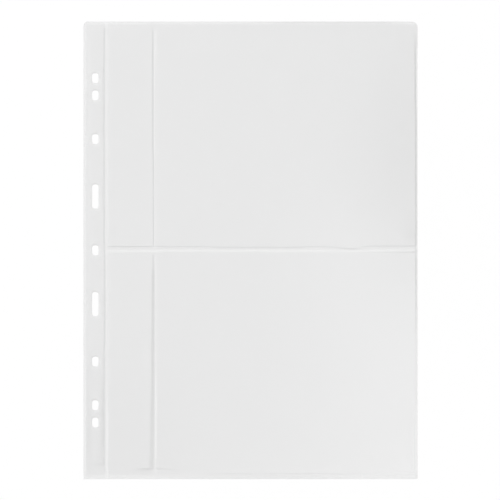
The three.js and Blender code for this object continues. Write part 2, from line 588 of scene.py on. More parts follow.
@dataclass(frozen=True)
class Relief:
    """Height of the front film's top over the whole page.

    Attributes:
        row: The punched holes.
        level: Height of the film's top where nothing presses it.
        film: Thickness of a film.
        back_clearance: Lowest level of the front film's underside.
        thinnest: Least thickness of the front film.
        press: Depth of the pressed bands.
        fused_start: The share of that depth from which on the films start to fuse.
        welds: Groups of troughs that a heated bar pressed. The deepest group counts.
        creases: Troughs that add up: slit edges, puckers and folds.
        free_clear: How clear the free film is, between the deepest painted crease shade at 0 and a
            weld at 1.
        crease_shade: How much painted shade each unit of slope puts on, as a share of that, past
            crease_start.
        crease_start: The slope where the painted crease shade starts.
        patches: Areas of painted light, where the film is painted clearer, and of painted shade,
            where it is painted dimmer.
    """

    row: PunchedRow
    level: float = 0.5
    film: float = 0.15
    back_clearance: float = 0.16
    thinnest: float = 0.03
    press: float = 0.27
    fused_start: float = 0.75
    welds: tuple[tuple[Trough, ...], ...] = ()
    creases: tuple[Trough, ...] = ()
    free_clear: float = 0.725
    crease_shade: float = 2.7
    crease_start: float = 0.07
    patches: tuple[PaintedPatch, ...] = ()

    def pressed(self, x: np.ndarray, y: np.ndarray) -> np.ndarray:
        """Depth that the welding bars pressed the film at some points."""
        groups = [sum(trough.depth(x, y) for trough in group) for group in self.welds]
        return np.maximum.reduce(groups)

    def fused(self, x: np.ndarray, y: np.ndarray) -> np.ndarray:
        """How far the films are fused at some points, from 0 to 1."""
        share = self.pressed(x, y) / self.press
        return ease((share - self.fused_start) / (1 - self.fused_start))

    def slope(self, x: np.ndarray, y: np.ndarray) -> np.ndarray:
        """Steepness of the front film's top at some points.

        Args:
            x: X of the points.
            y: Y of the points.

        Returns:
            The slopes, as height over run.
        """
        reach = 0.1
        along = self.top(x + reach, y) - self.top(x - reach, y)
        across = self.top(x, y + reach) - self.top(x, y - reach)
        return np.hypot(along, across) / (2 * reach)

    def clear(self, x: np.ndarray, y: np.ndarray) -> np.ndarray:
        """How clear the page looks at some points, with its painted light and painted shade.

        Args:
            x: X of the points.
            y: Y of the points.

        Returns:
            The measures, from 0 where the most shade is painted, in a steep crease, to 1 where the
            films are fused.
        """
        # Areas of painted light make the free film clearer, and areas of painted shade dimmer
        share = self.free_clear + sum(patch.share(x, y) for patch in self.patches)
        share = np.maximum(share, self.fused(x, y))
        # Painted shade in the creases: steep slopes take clearness away
        lost = self.crease_shade * np.maximum(self.slope(x, y) - self.crease_start, 0)
        return np.clip(share - lost, 0, 1)

    def top(self, x: np.ndarray, y: np.ndarray) -> np.ndarray:
        """Top of the front film at some points.

        Args:
            x: X of the points.
            y: Y of the points.

        Returns:
            The heights.
        """
        height = self.level - self.pressed(x, y) - self.row.sag(x, y)
        height -= sum(crease.depth(x, y) for crease in self.creases)
        return np.maximum(height, self.back_clearance + self.thinnest)

    def underside(self, x: np.ndarray, y: np.ndarray) -> np.ndarray:
        """Underside of the front film at some points."""
        return np.maximum(self.top(x, y) - self.film, self.back_clearance)


def edge_welds() -> tuple[tuple[Trough, ...], ...]:
    """The bands that a heated bar pressed along the page's four edges.

    Returns:
        A group for each edge: the pressed land, and the film's own slope down to it.
    """
    left = (
        Trough(Axis.X, (
            (100, 0.1, -113.9, -114.9),
            (135, 0.1, -113.3, -114.5),
        )),
        Trough.even(Axis.X, (-109.4, -114.2), (0, 0.17)),
    )
    # The outer edge is pressed flat low down and stays rounded, like a fold, higher up
    right = (
        Trough(Axis.X, (
            (-112, 0.0, 114.2, 116.4),
            (-100, 0.14, 114.2, 116.4),
            (-56, 0.14, 114.2, 116.4),
            (-47, 0.19, 114.2, 116.4),
            (-36, 0.27, 114.2, 116.4),
            (-20, 0.31, 114.3, 116.5),
            (95, 0.31, 114.2, 116.4),
            (105, 0.33, 113.9, 116.1),
            (135, 0.31, 113.9, 116.1),
            (143, 0.22, 113.5, 116.0),
            (157, 0.06, 113.5, 116.0),
        )),
        Trough.even(Axis.X, (99.0, 115.4), (-114, 0.27), (-100, 0.16), (-64, 0.16), (-40, 0.0)),
    )
    top = (
        Trough(Axis.Y, (
            (-85, 0.12, 153.6, 158.4),
            (-70, 0.12, 155.0, 158.4),
            (-30, 0.12, 155.8, 158.4),
            (-15, 0.12, 156.4, 158.4),
            (50, 0.085, 156.4, 158.4),
            (92, 0.085, 156.4, 158.4),
            (108, 0.12, 155.6, 158.4),
        )),
        Trough.even(Axis.Y, (150.0, 157.0), (0, 0.15)),
    )
    bottom = (
        Trough(Axis.Y, (
            (-60, 0.066, -152.6, -157.4),
            (-40, 0.066, -154.7, -156.0),
            (66, 0.066, -154.7, -156.0),
            (84, 0.05, -154.7, -156.0),
        )),
        Trough.even(Axis.Y, (-143.0, -155.5), (-60, 0.19), (-40, 0.18), (66, 0.18), (84, 0.22)),
    )
    return left, right, top, bottom


def seam_and_divider() -> tuple[tuple[Trough, ...], ...]:
    """The seam beside the strip, and the line between the two pockets.

    Returns:
        A group for each.
    """
    seam = Trough(Axis.X, (
        (-159.5, 0.27, -105.4, -100.1, -100.9, -98.5),
        (-104, 0.27, -104.8, -100.1, -100.9, -98.5),
        (-75, 0.27, -103.8, -100.0, -100.9, -98.3),
        (-60, 0.27, -103.0, -100.1, -101.0, -98.2),
        (-10, 0.27, -103.0, -100.1, -101.0, -98.2),
        (10, 0.25, -103.6, -100.5, -101.4, -98.4),
        (70, 0.25, -103.6, -100.5, -101.4, -98.4),
        (85, 0.29, -103.9, -100.5, -101.6, -98.5),
        (125, 0.29, -103.9, -100.5, -101.6, -98.5),
        (135, 0.29, -103.5, -100.2, -101.4, -98.3),
    ))
    # Between the pockets the film falls and rises again; further out it puckers
    divider = Trough(Axis.Y, (
        (-102, 0.0, 3.3, 2.0, 1.0, -2.0),
        (-99.5, 0.16, 3.3, 2.0, 1.0, -2.0),
        (-68, 0.16, 3.3, 2.0, 1.0, -2.0),
        (-62, 0.14, 3.5, 1.9, 1.0, -1.2),
        (-30, 0.14, 3.5, 1.9, 1.0, -1.2),
        (-22, 0.18, 3.2, 1.0, 0.9, -1.8),
        (32, 0.18, 3.2, 1.0, 0.9, -1.8),
        (40, 0.13, 3.3, 1.9, 0.6, -1.4),
        (58, 0.12, 3.2, 1.6, 0.3, -1.2),
        (66, 0.2, 2.1, 0.1, 0.1, -2.3),
        (74, 0.2, 2.0, 0.1, 0.1, -2.2),
        (79, 0.16, 1.6, 0.0, 0.2, -1.0),
        (86, 0.05, 1.4, 0.3, 0.3, -0.7),
        (114, 0.06, 1.0, 0.3, 0.3, -0.7),
    ))
    return (seam,), (divider,)


def puckers() -> tuple[Trough, ...]:
    """The creases at the ends of the welds, where the film has too much length.

    Returns:
        The creases.
    """
    mouth_pucker = Trough(Axis.Y, (
        (-90, 0.0, -151.6, -153.8, -154.0, -157.0),
        (-80, 0.03, -151.6, -153.8, -154.0, -157.0),
        (-73, 0.1, -151.4, -153.7, -153.9, -157.0),
        (-66, 0.2, -151.2, -153.7, -153.8, -156.4),
        (-60, 0.2, -151.2, -153.9, -154.0, -156.4),
        (-54, 0.14, -151.9, -154.8, -154.9, -157.4),
        (-44, 0.06, -152.6, -154.8, -154.9, -157.4),
        (-36, 0.0, -152.6, -154.8, -154.9, -157.4),
    ))
    outer_pucker = Trough(Axis.Y, (
        (72, 0.0, 3.4, 2.4, 2.0, 0.4),
        (78, 0.08, 3.2, 2.0, 1.4, 0.0),
        (88, 0.17, 4.0, 1.8, 1.4, 0.0),
        (106, 0.19, 4.3, 1.8, 1.4, 0.0),
        (113, 0.18, 4.2, 1.7, 1.3, 0.0),
    ))
    outer_line = Trough(Axis.Y, (
        (56, 0.0, -1.0, -2.2, -2.6, -6.0),
        (62, 0.04, -1.0, -2.2, -2.6, -6.0),
        (80, 0.08, -0.6, -2.2, -2.6, -6.0),
        (98, 0.12, -0.6, -2.2, -2.6, -6.0),
        (113, 0.16, -0.4, -2.2, -2.6, -6.0),
    ))
    # The seam shows in the fused bands at the page's two ends too
    seam_ends = Trough.even(
        Axis.X,
        (-103.2, -101.4, -100.6, -98.8),
        (-155.0, 0.04),
        (-154.0, 0.0),
        (154.0, 0.0),
        (155.0, 0.04),
    )
    strip_end = Trough(Axis.Y, (
        (-116, 0.1, -148.0, -150.4, -151.0, -153.4),
        (-104, 0.15, -148.0, -150.6, -151.2, -153.6),
        (-96, 0.14, -148.0, -150.8, -151.4, -154.0),
        (-90, 0.0, -147.4, -151.2, -151.8, -155.4),
    ))
    return mouth_pucker, outer_pucker, outer_line, seam_ends, strip_end


def slit_creases() -> tuple[Trough, ...]:
    """The film's fall and rise beside the two slits.

    Returns:
        The creases.
    """
    # Each flap falls to its slit, and the pocket's lip rises from it a little further on
    upper_slit = Trough(Axis.X, (
        (2.0, 0.0, -68.6, -66.6, -66.9, -64.8),
        (4.0, 0.19, -68.6, -66.6, -66.9, -64.8),
        (60.0, 0.2, -68.7, -66.7, -67.0, -64.9),
        (70.0, 0.21, -69.2, -67.0, -67.2, -65.0),
        (128.0, 0.21, -69.2, -67.0, -67.2, -65.0),
        (136.0, 0.2, -69.0, -67.4, -67.3, -64.2),
        (153.0, 0.14, -69.0, -67.4, -67.3, -64.2),
        (157.0, 0.0, -69.0, -67.4, -67.3, -64.2),
    ))
    lower_slit = Trough(Axis.X, (
        (-157.0, 0.0, -71.6, -66.2, -66.6, -64.6),
        (-152.0, 0.16, -71.6, -66.2, -66.6, -64.6),
        (-115.0, 0.16, -70.4, -66.2, -66.6, -64.6),
        (-65.0, 0.16, -69.6, -66.2, -66.6, -64.6),
        (-10.0, 0.15, -69.2, -66.2, -66.6, -64.6),
        (-4.5, 0.16, -69.0, -66.8, -66.8, -64.8),
        (-2.5, 0.0, -69.0, -66.8, -66.8, -64.8),
    ))
    lower_ridge = Trough(Axis.X, (
        (-155.5, 0.0, -88.0, -72.5, -71.8, -66.0),
        (-151.5, -0.24, -88.0, -72.5, -71.8, -66.0),
        (-118.0, -0.25, -88.0, -72.2, -71.0, -66.2),
        (-60.0, -0.24, -88.0, -71.5, -70.2, -66.3),
        (-18.0, -0.23, -88.0, -71.2, -69.8, -66.3),
        (-9.0, -0.09, -88.0, -71.2, -69.8, -66.3),
        (-3.0, 0.0, -88.0, -71.2, -69.8, -66.3),
    ))
    # At its lower end the slit bends towards the binding, in the fused band
    lower_hook = Trough(Axis.X, (
        (-158.6, 0.0, -76.0, -71.0, -70.4, -68.8),
        (-157.6, 0.1, -75.0, -69.6, -69.0, -67.4),
        (-156.4, 0.12, -71.5, -66.6, -66.7, -65.1),
        (-153.6, 0.12, -70.0, -66.2, -66.4, -64.8),
        (-151.5, 0.0, -70.0, -66.2, -66.4, -64.8),
    ))
    return upper_slit, lower_slit, lower_ridge, lower_hook


def patches() -> tuple[PaintedPatch, ...]:
    """Areas of painted light, where the page is painted clearer, and of painted shade.

    Returns:
        The patches.
    """
    # Broad painted light and shade: darker at the upper right and lower left, lighter at the lower
    # right
    broad = (
        PaintedPatch(116.0, 60.0, -0.225, 38.0, 60.0, 62.0, 90.0),
        PaintedPatch(116.0, -90.0, 0.22, 78.0, 60.0, 180.0, 100.0),
        PaintedPatch(60.0, 0.0, 0.06, 35.0, 30.0, 40.0, 40.0),
        PaintedPatch(-100.0, -150.0, -0.1, 50.0, 60.0, 60.0, 70.0),
        PaintedPatch(112.0, 9.0, -0.16, 5.0, 5.0, 5.0, 12.0),
    )
    # Thin painted light and painted shade along the top and bottom bands
    top_and_bottom = (
        PaintedPatch(0.0, 155.0, -0.05, 150.0, 150.0, 3.5, 3.5),
        PaintedPatch(40.0, -159.5, 0.05, 120.0, 100.0, 20.0, 18.0),
        PaintedPatch(116.5, -159.5, 0.12, 16.0, 16.0, 20.0, 20.0),
        PaintedPatch(-45.0, -157.4, 0.11, 50.0, 30.0, 2.0, 1.5),
        PaintedPatch(98.0, -157.4, 0.13, 30.0, 25.0, 2.0, 1.5),
        PaintedPatch(30.0, -155.5, -0.12, 70.0, 60.0, 0.45, 0.45),
    )
    # The divider's painted light line stops short of the strip
    divider = (
        PaintedPatch(6.0, -0.35, 0.12, 400.0, 400.0, 1.1, 0.9),
        PaintedPatch(-108.0, -0.35, -0.11, 9.0, 8.0, 1.1, 0.9),
    )
    # Low down, painted light lines beside the seam and the slit, painted shade lines on the strip
    upright = (
        PaintedPatch(-99.9, -125.0, 0.28, 0.8, 0.8, 100.0, 25.0),
        PaintedPatch(-66.05, -125.0, 0.2, 0.6, 0.8, 40.0, 50.0),
        PaintedPatch(-113.3, -125.0, -0.2, 0.9, 2.2, 26.0, 45.0),
        PaintedPatch(-102.0, -118.0, -0.22, 3.2, 0.7, 34.0, 34.0),
    )
    return *broad, *top_and_bottom, *divider, *upright


def page_relief() -> Relief:
    """The relief of this page, as it lies empty on a table.

    Returns:
        The relief.
    """
    return Relief(
        row=PunchedRow(),
        welds=(*edge_welds(), *seam_and_divider()),
        creases=(*slit_creases(), *puckers()),
        patches=patches(),
    )


# Meshes


@dataclass(frozen=True)
class Band:
    """A stretch of grid lines that lie closer together than elsewhere.

    Attributes:
        start: Where it starts.
        end: Where it ends.
        step: Distance of its lines.
    """

    start: float
    end: float
    step: float


def grid_lines(low: float, high: float, coarse: float, bands: Sequence[Band]) -> np.ndarray:
    """Grid lines from one place to another, closer inside the bands.

    Args:
        low: First line.
        high: Last line.
        coarse: Distance of the lines outside the bands.
        bands: Stretches with closer lines, in order.

    Returns:
        The places of the lines.
    """
    lines = [low]
    while lines[-1] < high - SAME:
        here = lines[-1] + SAME
        inside = [band for band in bands if band.start <= here < band.end]
        ahead = [band.start for band in bands if band.start > here]
        if inside:
            step, stop = inside[0].step, inside[0].end
        else:
            step, stop = coarse, min(ahead, default=high)
        stop = min(stop, high)
        count = max(1, round((stop - lines[-1]) / step))
        start = lines[-1]
        lines.extend(start + (stop - start) * (i + 1) / count for i in range(count))
    return np.array(lines)


def lines_between(lines: np.ndarray, start: float, end: float, apart: float = 0.05) -> list[float]:
    """Grid lines between two places, in order from the first place to the second.

    Args:
        lines: Places of the grid's lines.
        start: First place.
        end: Second place.
        apart: Least distance of a line from both places.

    Returns:
        The places of those lines.
    """
    low, high = sorted((start, end))
    inner = lines[(lines > low + apart) & (lines < high - apart)].tolist()
    return inner if end > start else inner[::-1]


@dataclass
class Grid:
    """Lines that every piece of the front film shares, so that their edges meet.

    Attributes:
        xs: X of each line up the page.
        ys: Y of each line across the page.
    """

    xs: np.ndarray
    ys: np.ndarray

    def trace(self, corners: Sequence[Point], crease_step: float = 2.0) -> list[Point]:
        """Adds points to an outline where the grid's lines meet it.

        Args:
            corners: Corners of the outline.
            crease_step: Distance of the points along a slanting edge.

        Returns:
            Points of the outline.
        """
        points: list[Point] = []
        for start, end in zip(corners, [*corners[1:], corners[0]]):
            points.append(start)
            (x0, y0), (x1, y1) = start, end
            if abs(y0 - y1) < SAME:
                points += [(x, y0) for x in lines_between(self.xs, x0, x1)]
            elif abs(x0 - x1) < SAME:
                points += [(x0, y) for y in lines_between(self.ys, y0, y1)]
            else:
                # Both sides of a crease have the same points, whichever way they go
                first, last = sorted((start, end))
                count = max(1, round(math.dist(start, end) / crease_step))
                run = [part_way(first, last, i, count) for i in range(1, count)]
                points += run if start == first else run[::-1]
        return points

    def inner_points(self, outline: Sequence[Point], margin: float = 0.12) -> np.ndarray:
        """Grid points inside an outline, clear of its edges.

        Args:
            outline: Points of the outline.
            margin: Least distance from the outline.

        Returns:
            The points, one in each row.
        """
        x, y = np.meshgrid(self.xs, self.ys)
        points = np.column_stack((x.ravel(), y.ravel()))
        edge = np.array(outline)
        low, high = edge.min(0), edge.max(0)
        points = points[np.all((points > low) & (points < high), axis=1)]
        points = points[contains(edge, points)]
        return points[edge_distance(edge, points) > margin]


def contains(outline: np.ndarray, points: np.ndarray) -> np.ndarray:
    """Tells which points lie inside an outline.

    Args:
        outline: Points of the outline, in order.
        points: The points to test.

    Returns:
        One truth value for each point.
    """
    inside = np.zeros(len(points), bool)
    x, y = points[:, 0], points[:, 1]
    for (x0, y0), (x1, y1) in zip(outline, np.roll(outline, -1, axis=0)):
        if y0 == y1:
            continue
        crosses = (y0 > y) != (y1 > y)
        inside ^= crosses & (x < (x1 - x0) * (y - y0) / (y1 - y0) + x0)
    return inside


def edge_distance(outline: np.ndarray, points: np.ndarray) -> np.ndarray:
    """Distance of each point from the nearest edge of an outline.

    Args:
        outline: Points of the outline, in order.
        points: The points to test.

    Returns:
        One distance for each point.
    """
    nearest = np.full(len(points), np.inf)
    for start, end in zip(outline, np.roll(outline, -1, axis=0)):
        run = end - start
        length = max(float(run @ run), SAME**2)
        along = np.clip(((points - start) @ run) / length, 0, 1)
        gap = points - start - along[:, None] * run
        nearest = np.minimum(nearest, np.hypot(gap[:, 0], gap[:, 1]))
    return nearest


@dataclass
class FilmSolid:
    """A thin closed piece of film, cut to an outline.

    Attributes:
        outline: Points of the outline, in order.
        top: Height of its top.
        bottom: Height of its underside.
        inner: Points inside the outline, for relief.
        holes: Outlines of the holes.
        shares: Measures from 0 to 1 that the finish reads, by name.
        snap: Points closer together than this are joined.
        sliver: Triangles with less than half this area are left out.
    """

    outline: Sequence[Point]
    top: Height
    bottom: Height
    inner: np.ndarray = field(default_factory=lambda: np.zeros((0, 2)))
    holes: Sequence[Sequence[Point]] = ()
    shares: dict[str, Height] = field(default_factory=dict)
    snap: float = 1e-5
    sliver: float = 1e-9

    def triangles(self) -> tuple[np.ndarray, np.ndarray]:
        """Divides the outline into triangles.

        Returns:
            The points and the triangles' corner numbers, turning left.
        """
        loops = [list(self.outline), *[list(hole) for hole in self.holes]]
        points: list[Point] = []
        edges: list[tuple[int, int]] = []
        for loop in loops:
            base = len(points)
            points += loop
            edges += [(base + i, base + (i + 1) % len(loop)) for i in range(len(loop))]
        points += [tuple(p) for p in self.inner.tolist()]
        coords = [Vector(p) for p in points]
        inside_edges = 1
        found, _, faces, *_ = delaunay_2d_cdt(coords, edges, [], inside_edges, self.snap)
        verts = np.array([tuple(v) for v in found])
        corners = np.array([face for face in faces if len(face) == 3])
        middle = verts[corners].mean(axis=1)
        keep = contains(np.array(self.outline), middle)
        for hole in self.holes:
            keep &= ~contains(np.array(hole), middle)
        corners = corners[keep]
        a, b, c = (verts[corners[:, i]] for i in range(3))
        (bx, by), (cx, cy) = (b - a).T, (c - a).T
        area = bx * cy - by * cx
        whole = np.abs(area) > self.sliver
        corners, area = corners[whole], area[whole]
        corners[area < 0] = corners[area < 0][:, ::-1]
        used, corners = np.unique(corners, return_inverse=True)
        return verts[used], corners.reshape(-1, 3)

    def build(self, name: str) -> bpy.types.Object:
        """Makes the closed mesh: a top, an underside and walls round every rim.

        Args:
            name: Name of the piece.

        Returns:
            The new object.
        """
        spots, corners = self.triangles()
        x, y = spots.T
        count = len(spots)
        top = np.column_stack((x, y, self.top(x, y)))
        low = np.column_stack((x, y, self.bottom(x, y)))
        sides = np.concatenate([corners[:, [0, 1]], corners[:, [1, 2]], corners[:, [2, 0]]])
        present = {(int(a), int(b)) for a, b in sides}
        rim = [(a, b) for a, b in present if (b, a) not in present]
        rim.sort()
        faces = [tuple(face) for face in corners.tolist()]
        faces += [(c + count, b + count, a + count) for a, b, c in corners.tolist()]
        faces += [(a, a + count, b + count, b) for a, b in rim]
        mesh = bpy.data.meshes.new(name)
        mesh.from_pydata((np.concatenate((top, low)) * MM).tolist(), [], faces)
        mesh.validate()
        for share, measure in self.shares.items():
            attribute = mesh.attributes.new(share, "FLOAT", "POINT")
            attribute.data.foreach_set("value", np.tile(measure(x, y), 2).astype(np.float32))
        mesh.shade_smooth()
        mesh.set_sharp_from_angle(angle=SHARP_ANGLE)
        mesh.update()
        log.info("%s: %d triangles", name, 2 * (len(corners) + len(rim)))
        return add_object(name, mesh)


# Sub-assemblies


class Pocket(Enum):
    """The two pockets, by the first word of their solids' names."""

    UPPER = "upper"
    LOWER = "lower"


class SlitSide(Enum):
    """The two sides of a slit: a word of the solids' names, and one of the lip's body."""

    FLAP = ("flap", "flap")
    MOUTH = ("pocket", "mouth")


class Workshop:
    """Finishes, grid and relief that all the sub-assemblies share."""

    def __init__(self, relief: Relief) -> None:
        """Reads the page's sizes from the frame and lays the grid.

        Args:
            relief: Relief of the front film.
        """
        self.relief = relief
        self.materials: dict[FilmFinish, bpy.types.Material] = {}
        sheets = span("strip_back_film", "page_back_film")
        (self.left, self.bottom), (self.right, self.top) = sheets
        self.seam_start = span("strip_back_film")[1][0]
        self.seam_end = span("page_back_film")[0][0]
        self.grid = Grid(self.columns(), self.rows())

    def columns(self) -> np.ndarray:
        """Lays the grid lines across the page, close together where the relief has slopes.

        Returns:
            The x of each line.
        """
        strip_start = span("strip_front_film")[0][0]
        pocket_end = span("upper_pocket_film")[1][0]
        slits = sorted(
            edge
            for pocket in Pocket
            for edge in (
                span(f"{pocket.value}_flap_film")[1][0],
                span(f"{pocket.value}_pocket_film")[0][0],
            )
        )
        return grid_lines(self.left, self.right, 3.6, (
            Band(self.left, strip_start, 0.3),
            Band(strip_start, -112.0, 0.4),
            Band(-106.0, self.seam_start, 0.35),
            Band(self.seam_start, self.seam_end, 0.3),
            Band(self.seam_end, -97.4, 0.3),
            Band(-74.0, slits[0], 0.3),
            *[Band(start, end, 0.2) for start, end in zip(slits, slits[1:])],
            Band(slits[-1], -61.5, 0.3),
            Band(108.0, pocket_end, 0.45),
            Band(pocket_end, self.right, 0.3),
        ))

    def rows(self) -> np.ndarray:
        """Lays the grid lines up the page, close together where the relief has slopes.

        Returns:
            The y of each line.
        """
        (_, lower_start), (_, lower_end) = span("lower_flap_film")
        (_, upper_start), (_, upper_end) = span("upper_flap_film")
        return grid_lines(self.bottom, self.top, 4.0, (
            Band(self.bottom, lower_start, 0.35),
            Band(lower_start, -144.0, 0.5),
            Band(-6.0, lower_end, 0.3),
            Band(lower_end, upper_start, 0.25),
            Band(upper_start, 6.0, 0.3),
            Band(151.0, upper_end, 0.5),
            Band(upper_end, self.top, 0.35),
        ))

    def finish(self, obj: bpy.types.Object, finish: FilmFinish, *nodes: str) -> None:
        """Gives a piece its finish and hides the solids that it stands for.

        Args:
            obj: The piece.
            finish: Its finish.
            nodes: Names of the solids.
        """
        if finish not in self.materials:
            self.materials[finish] = finish.material()
        obj.data.materials.append(self.materials[finish])
        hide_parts(*nodes)

    def dress(self, obj: bpy.types.Object, finish: FilmFinish, body: str, *nodes: str) -> None:
        """Finishes a piece that rides on one body.

        Args:
            obj: The piece.
            finish: Its finish.
            body: The body that it rides on.
            nodes: Names of the solids that it stands for.
        """
        self.finish(obj, finish, *nodes)
        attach(obj, body)

    def front(self, corners: Sequence[Point]) -> FilmSolid:
        """Plans a piece of the front film, with the page's relief.

        Args:
            corners: Corners of its outline.

        Returns:
            The plan of the piece.
        """
        outline = self.grid.trace(corners)
        return FilmSolid(
            outline=outline,
            top=self.relief.top,
            bottom=self.relief.underside,
            inner=self.grid.inner_points(outline),
            # The clear measure holds the fusing and the painted light and shade
            shares={"fused": self.relief.fused, "clear": self.relief.clear},
        )

    def back(self, corners: Sequence[Point], holes: Sequence[Sequence[Point]]) -> FilmSolid:
        """Plans a piece of the back film, which lies flat.

        Args:
            corners: Corners of its outline.
            holes: Outlines of its holes.

        Returns:
            The plan of the piece.
        """
        outline = self.grid.trace(corners)
        return FilmSolid(outline, flat(self.relief.film), flat(0.0), holes=holes)

    def seal(self, name: str, body: str, corners: Sequence[Point]) -> None:
        """Builds a fused band that rides on one body.

        Args:
            name: Name of the band, as in the name of its solid.
            body: The body that it rides on.
            corners: Corners of its outline.
        """
        band = self.front(corners).build(f"{name}_seal")
        self.dress(band, FUSED_BAND, body, f"{name}_weld")


@dataclass
class BindingStrip:
    """The punched strip: two films, and fused bands along its edge and its two ends.

    Attributes:
        shop: What the sub-assemblies share.
        body: The body that the strip rides on.
        top_radius: Radius of the page's top corner.
        bottom_radius: Radius of its bottom corner.
        rings: Distances from a hole's rim of the rings of mesh points round it.
        beyond_rings: How far beyond the last ring the grid's own points start.
    """

    shop: Workshop
    body: str = "binding_strip"
    top_radius: float = 3.0
    bottom_radius: float = 0.6
    rings: tuple[float, ...] = (0.25, 0.5, 0.8, 1.1, 1.4, 1.7)
    beyond_rings: float = 0.15

    def build(self) -> None:
        """Builds the strip's films and bands."""
        shop = self.shop
        left, bottom, top, seam = shop.left, shop.bottom, shop.top, shop.seam_start
        (film_x, low), (_, high) = span("strip_front_film")
        row = shop.relief.row
        holes = [row.outline(*hole) for hole in row.openings()]
        high_arc = arc(left + self.top_radius, top - self.top_radius, self.top_radius, 90)
        low_arc = arc(
            left + self.bottom_radius, bottom + self.bottom_radius, self.bottom_radius, 180
        )
        half = len(high_arc) // 2

        back = shop.back([(seam, bottom), (seam, top), *high_arc, *low_arc], holes)
        shop.dress(back.build("strip_back_sheet"), BACK_FILM, self.body, "strip_back_film")

        front = shop.front(rectangle(film_x, seam, low, high))
        front.holes = holes
        away = row.outside(front.inner[:, 0], front.inner[:, 1])
        rings = [row.outline(*hole, grow) for hole in row.openings() for grow in self.rings]
        round_holes = np.array([point for ring in rings for point in ring])
        grid_points = front.inner[away > max(self.rings) + self.beyond_rings]
        front.inner = np.concatenate((grid_points, round_holes))
        shop.dress(front.build("strip_front_sheet"), FRONT_FILM, self.body, "strip_front_film")

        edge = [(film_x, low), (film_x, high), *high_arc[half:], *low_arc[:half + 1]]
        high_end = [(seam, high), (seam, top), *high_arc[:half + 1], (film_x, high)]
        low_end = [(film_x, low), *low_arc[half:], (seam, bottom), (seam, low)]
        shop.seal("binding_edge", self.body, edge)
        shop.seal("strip_top", self.body, high_end)
        shop.seal("strip_bottom", self.body, low_end)


@dataclass
class HingeSeam:
    """The fused line between the strip and the pockets, on which the page turns.

    Attributes:
        shop: What the sub-assemblies share.
        strip: The body on the binding side. Not used.
        panel: The body on the pockets' side. Not used.
    """

    shop: Workshop
    strip: str = "binding_strip"
    panel: str = "page_panel"

    def build(self) -> None:
        """Builds the seam."""
        shop = self.shop
        start, end = shop.seam_start, shop.seam_end
        plan = shop.front(rectangle(start, end, shop.bottom, shop.top))
        plan.bottom = flat(0.0)
        seam = plan.build("seam_seal")
        shop.finish(seam, FUSED_SEAM, "strip_seam_weld", "panel_seam_weld")
        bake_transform(seam)


@dataclass
class PagePanel:
    """The back of the pockets, and the fused bands round and between them.

    Attributes:
        shop: What the sub-assemblies share.
        body: The body that the panel rides on.
        top_radius: Radius of the page's top corner.
        bottom_radius: Radius of its bottom corner.
    """

    shop: Workshop
    body: str = "page_panel"
    top_radius: float = 4.0
    bottom_radius: float = 1.0

    def build(self) -> None:
        """Builds the back sheet and the bands."""
        shop = self.shop
        right, bottom, top, seam = shop.right, shop.bottom, shop.top, shop.seam_end
        (_, low), (_, divider_low) = span("lower_pocket_film")
        (_, divider_high), (end, high) = span("upper_pocket_film")
        high_arc = arc(right - self.top_radius, top - self.top_radius, self.top_radius, 0)
        low_arc = arc(
            right - self.bottom_radius, bottom + self.bottom_radius, self.bottom_radius, 270
        )
        half = len(high_arc) // 2

        back = shop.back([(seam, top), (seam, bottom), *low_arc, *high_arc], [])
        shop.dress(back.build("page_back_sheet"), BACK_FILM, self.body, "page_back_film")

        high_end = [(end, high), *high_arc[half:], (seam, top), (seam, high)]
        low_end = [(seam, low), (seam, bottom), *low_arc[:half + 1], (end, low)]
        edge = [(end, high), (end, low), *low_arc[half:], *high_arc[:half + 1]]
        shop.seal("top", self.body, high_end)
        shop.seal("bottom", self.body, low_end)
        shop.seal("outer_edge", self.body, edge)
        shop.seal("divider", self.body, rectangle(seam, end, divider_low, divider_high))


@dataclass
class Opening:
    """The front film on one side of a slit: a fixed part and a lip that lifts.

    Two slanting creases part the lip from the gussets, which stay with the welds at their far
    ends.

    Attributes:
        shop: What the sub-assemblies share.
        pocket: The pocket whose slit it is.
        side: The side of the slit.
        gusset: Length of a gusset along the slit.
        root: Width of film beside the weld that never lifts.
        clearance: Gap between the solids of the lip and of the fixed film.
        closer: How much nearer to the slit's middle the film lies than the solid, so that the
            slit shows as a cut and not as a gap.
    """

    shop: Workshop
    pocket: Pocket
    side: SlitSide
    gusset: float = 40.0
    root: float = 1.5
    clearance: float = 0.2
    closer: float = 0.15

    def build(self) -> None:
        """Builds the sheet with its lip, and the two gussets."""
        shop = self.shop
        solid, body = self.side.value
        name, moving = f"{self.pocket.value}_{solid}", f"{self.pocket.value}_{body}"
        film, lip = f"{name}_film", f"{name}_lip"
        (x0, low), (x1, high) = span(film)
        lip_x = [corner[0] for corner in span(lip)]
        if self.side is SlitSide.FLAP:
            fixed, edge, fold = x0, x1 + self.closer, min(lip_x) - self.clearance
        else:
            fixed, edge, fold = x1, x0 - self.closer, max(lip_x) + self.clearance

        sheet = shop.front([
            (edge, high - self.gusset),
            (edge, low + self.gusset),
            (fold, low + self.root),
            (fold, low),
            (fixed, low),
            (fixed, high),
            (fold, high),
            (fold, high - self.root),
        ]).build(f"{name}_sheet")
        shop.finish(sheet, FRONT_FILM, film, lip)
        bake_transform(sheet)
        for end, weld, side in (("bottom", low, 1), ("top", high, -1)):
            root, tip = weld + side * self.root, weld + side * self.gusset
            plan = shop.front([(edge, weld), (fold, weld), (fold, root), (edge, tip)])
            gusset = plan.build(f"{name}_{end}_gusset")
            shop.finish(gusset, FRONT_FILM, film)
            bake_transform(gusset)


# Studio


